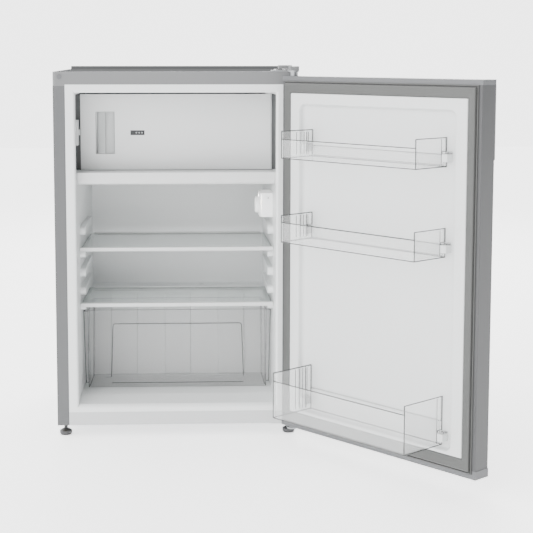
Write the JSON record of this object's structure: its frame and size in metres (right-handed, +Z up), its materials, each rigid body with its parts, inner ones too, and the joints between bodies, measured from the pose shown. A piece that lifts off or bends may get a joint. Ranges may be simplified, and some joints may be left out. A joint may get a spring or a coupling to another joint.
{
  "type": "under-counter refrigerator",
  "caption": "Under-counter fridge with its hinged door open: ice box with a flap, glass shelves, clear crisper, clear door baskets, a compressor and a rear condenser.",
  "frame": {"origin": "on the floor, under the centre of the cabinet's footprint without door and condenser", "axes": "+X to the right of a person facing the door, +Y to the back, +Z up"},
  "size_m": [0.8838, 0.9332, 0.836],
  "materials": {
    "painted_steel": "silver-grey paint on sheet steel, satin",
    "top_grey": "dark grey paint, satin",
    "silver_plastic": "silver-grey, satin",
    "insulation": "rigid foam, matt",
    "white_liner": "white vacuum-formed plastic, soft gloss",
    "white_plastic": "white moulded plastic, satin",
    "grip_grey": "light grey, satin",
    "badge_dark": "dark printed plate",
    "zinc_sheet": "zinc-coated sheet, dull",
    "black_steel": "black paint, satin",
    "screws": "plated steel",
    "copper": "bare copper, dull",
    "black_plastic": "black moulded plastic, satin",
    "grommet_rubber": "black rubber",
    "ice_box_aluminium": "coated aluminium, satin",
    "lamp_cover": "milky translucent",
    "bulb_glass": "frosted glass",
    "shelf_glass": "clear tempered glass, polished",
    "clear_plastic": "clear moulded plastic",
    "gasket": "light grey vinyl, soft",
    "magnet": "bonded ferrite strip"
  },
  "bodies": {
    "cabinet": {"side_panels": "painted_steel", "top_panel": "top_grey", "top_rail": "silver_plastic", "corner_caps": "silver_plastic", "corner_plugs": "silver_plastic", "cabinet_foam": "insulation", "inner_liner": "white_liner", "bottom_rail": "white_plastic", "base_pan": "zinc_sheet", "back_panel": "zinc_sheet", "compressor_plate": "zinc_sheet", "compressor_grommets": "grommet_rubber", "compressor_bolts": "screws", "compressor": "black_steel", "relay_cover": "black_plastic", "cord_inlet": "black_plastic", "evaporation_tray": "black_plastic", "drain_tube": "white_plastic", "suction_pipe": "copper", "discharge_pipe": "copper", "filter_drier": "copper", "condenser_coil": "black_steel", "condenser_wires": "black_steel", "condenser_brackets": "black_plastic", "rear_feet": "black_plastic", "ice_box": "ice_box_aluminium", "freezer_sill": "white_plastic", "flap_clips": "white_liner", "flap_catch": "white_liner", "thermostat_housing": "white_plastic", "lamp_lens": "lamp_cover", "lamp_bulb": "bulb_glass", "top_hinge": "zinc_sheet", "hinge_cover": "silver_plastic", "bottom_hinge": "zinc_sheet", "hinge_screws": "screws"},
    "door": {"door_skin": "painted_steel", "door_caps": "silver_plastic", "door_handle": "silver_plastic", "door_foam": "insulation", "door_liner": "white_liner", "door_gasket": "gasket", "gasket_magnets": "magnet"},
    "top_basket": {"top_basket": "clear_plastic"},
    "middle_basket": {"middle_basket": "clear_plastic"},
    "bottle_basket": {"bottle_basket": "clear_plastic"},
    "flap": {"flap_shell": "white_liner", "flap_back": "white_liner", "flap_insulation": "insulation", "flap_grip": "grip_grey", "flap_badge": "badge_dark"},
    "shelf": {"shelf_glass": "shelf_glass", "shelf_trim": "white_plastic"},
    "crisper_cover": {"cover_glass": "shelf_glass", "cover_trim": "white_plastic"},
    "crisper": {"crisper_drawer": "clear_plastic"},
    "knob": {"thermostat_knob": "white_plastic"},
    "switch": {"door_switch": "white_plastic"},
    "left_foot": {"left_foot": "black_plastic"},
    "right_foot": {"right_foot": "black_plastic"}
  },
  "joints": [
    {"name": "door_hinge", "type": "hinge", "parent": "cabinet", "child": "door", "pos_m": [0.258, -0.254, 0], "axis": [0, 0, 1], "range_deg": [-130, 5]},
    {"name": "flap_hinge", "type": "hinge", "parent": "cabinet", "child": "flap", "pos_m": [0.212, -0.129, 0], "axis": [0, 0, 1], "range_deg": [0, 85]},
    {"name": "shelf_slide", "type": "slide", "parent": "cabinet", "child": "shelf", "axis": [0, -1, 0], "range_m": [0, 0.15]},
    {"name": "cover_slide", "type": "slide", "parent": "cabinet", "child": "crisper_cover", "axis": [0, -1, 0], "range_m": [0, 0.15]},
    {"name": "crisper_slide", "type": "slide", "parent": "cabinet", "child": "crisper", "axis": [0, -1, 0], "range_m": [0, 0.2]},
    {"name": "top_basket_lift", "type": "slide", "parent": "door", "child": "top_basket", "axis": [0, 0, 1], "range_m": [0, 0.03]},
    {"name": "middle_basket_lift", "type": "slide", "parent": "door", "child": "middle_basket", "axis": [0, 0, 1], "range_m": [0, 0.03]},
    {"name": "bottle_basket_lift", "type": "slide", "parent": "door", "child": "bottle_basket", "axis": [0, 0, 1], "range_m": [0, 0.03]},
    {"name": "knob_turn", "type": "hinge", "parent": "cabinet", "child": "knob", "pos_m": [0.191, -0.111, 0.515], "axis": [-1, 0, 0], "range_deg": [0, 270]},
    {"name": "switch_press", "type": "slide", "parent": "cabinet", "child": "switch", "axis": [0, 1, 0], "range_m": [0, 0.003], "stiffness_N_per_m": 60},
    {"name": "left_foot_turn", "type": "hinge", "parent": "cabinet", "child": "left_foot", "pos_m": [-0.254, -0.195, 0], "axis": [0, 0, 1], "range_deg": [-180, 180]},
    {"name": "right_foot_turn", "type": "hinge", "parent": "cabinet", "child": "right_foot", "pos_m": [0.254, -0.195, 0], "axis": [0, 0, 1], "range_deg": [-180, 180]}
  ]
}
